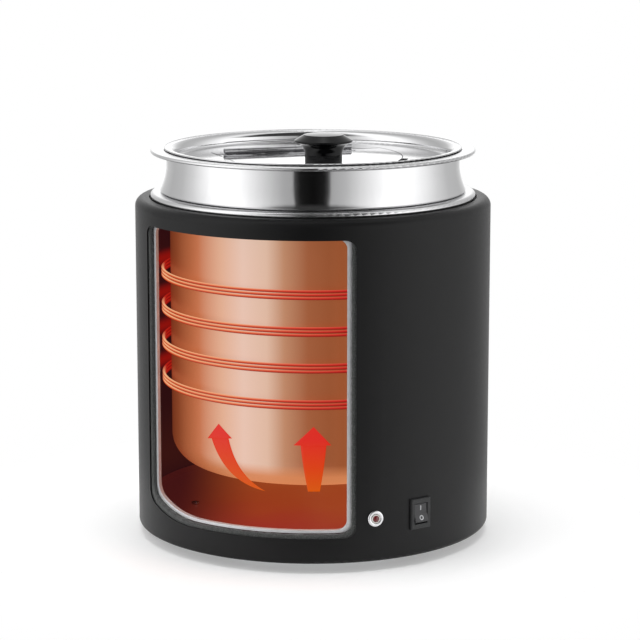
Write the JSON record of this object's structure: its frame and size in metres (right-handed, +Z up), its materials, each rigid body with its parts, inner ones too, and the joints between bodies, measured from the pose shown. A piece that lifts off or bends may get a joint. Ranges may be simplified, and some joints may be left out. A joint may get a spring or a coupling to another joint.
{
  "type": "soup kettle",
  "caption": "Electric wet-heat soup kettle: black casing with a display window onto its heated water pan, lift-out steel pot, recessed lid with a hinged flap.",
  "frame": {"origin": "on the kettle's vertical axis, at the table under its feet", "axes": "+Z up, window and controls face -Y, switch towards +X"},
  "size_m": [0.34, 0.351, 0.3895],
  "materials": {
    "black_coat": "satin black powder coat with fine grain",
    "zinc_steel": "galvanised sheet",
    "heated_floor": "sheet that reflects the heaters' red glow",
    "sleeve_steel": "bright inner sheet in the heaters' glow",
    "silver_trim": "satin silver edging",
    "grey_felt": "coarse grey insulation felt",
    "rubber_black": "matt black rubber",
    "plated_steel": "zinc plated",
    "brass_parts": "plain brass",
    "copper_glow": "steel seen in orange heat light",
    "glowing_wire": "sheathed element at red heat",
    "ceramic_white": "matt steatite",
    "sensor_metal": "drawn cup",
    "white_plastic": "white moulding",
    "lead_insulation": "glass fibre sleeving",
    "black_plastic": "fine textured moulding",
    "rocker_plastic": "semi-gloss moulding",
    "chrome_bezel": "bright chrome",
    "red_lens": "clear red lens",
    "polished_pot": "mirror polished stainless steel",
    "polished_lid": "mirror polished stainless steel",
    "polished_flap": "mirror polished stainless steel",
    "hinge_steel": "bright drawn steel",
    "knob_plastic": "polished black phenolic"
  },
  "bodies": {
    "root": {"outer_casing": "black_coat", "insulation_felt": "grey_felt", "inner_sleeve": "sleeve_steel", "window_trim": "silver_trim", "base_plate": "zinc_steel", "foot_front_left": "rubber_black", "foot_front_right": "rubber_black", "foot_rear_right": "rubber_black", "foot_rear_left": "rubber_black", "foot_screws": "plated_steel", "base_screws": "plated_steel", "heat_reflector": "heated_floor", "reflector_posts": "plated_steel", "reflector_screws": "plated_steel", "water_pan": "copper_glow", "rim_gasket": "rubber_black", "heater_band_1": "glowing_wire", "heater_band_2": "glowing_wire", "heater_band_3": "glowing_wire", "heater_band_4": "glowing_wire", "heater_supports": "ceramic_white", "live_bus_bar": "brass_parts", "neutral_bus_bar": "brass_parts", "thermostat": "sensor_metal", "thermal_cutout": "sensor_metal", "sensor_strap": "plated_steel", "sensor_studs": "plated_steel", "terminal_block": "white_plastic", "terminal_screws": "brass_parts", "earth_stud": "brass_parts", "heater_leads": "lead_insulation", "control_leads": "lead_insulation", "cable_gland": "black_plastic", "gland_dome_nut": "black_plastic", "gland_seal": "rubber_black", "gland_locknut": "black_plastic", "lamp_bezel": "chrome_bezel", "lamp_holder": "white_plastic", "lamp_lens": "red_lens", "lamp_nut": "plated_steel", "lamp_tabs": "brass_parts", "switch_housing": "black_plastic", "switch_blades": "brass_parts"},
    "pot": {"soup_pot": "polished_pot"},
    "lid": {"lid_plate": "polished_lid", "flap_ledge": "polished_lid", "hinge_leaf_rear": "hinge_steel", "hinge_rivets_rear": "hinge_steel", "hinge_pin": "hinge_steel"},
    "flap": {"lid_flap": "polished_flap", "hinge_leaf_front": "hinge_steel", "hinge_rivets_front": "hinge_steel", "lid_knob": "knob_plastic", "knob_washer": "plated_steel", "knob_screw": "plated_steel"},
    "rocker": {"rocker": "rocker_plastic"}
  },
  "joints": [
    {"name": "pot_lift", "type": "slide", "parent": "root", "child": "pot", "axis": [0, 0, 1], "range_m": [0, 0.28]},
    {"name": "lid_lift", "type": "slide", "parent": "pot", "child": "lid", "axis": [0, 0, 1], "range_m": [0, 0.1]},
    {"name": "lid_flap_hinge", "type": "hinge", "parent": "lid", "child": "flap", "pos_m": [-0.0176, 0.04999, 0.36485], "axis": [-0.9432, -0.3322, 0], "range_deg": [0, 155]},
    {"name": "rocker_tilt", "type": "hinge", "parent": "root", "child": "rocker", "pos_m": [0.0972, -0.13727, 0.0493], "axis": [0.8161, 0.5779, 0], "range_deg": [0, 20]}
  ]
}
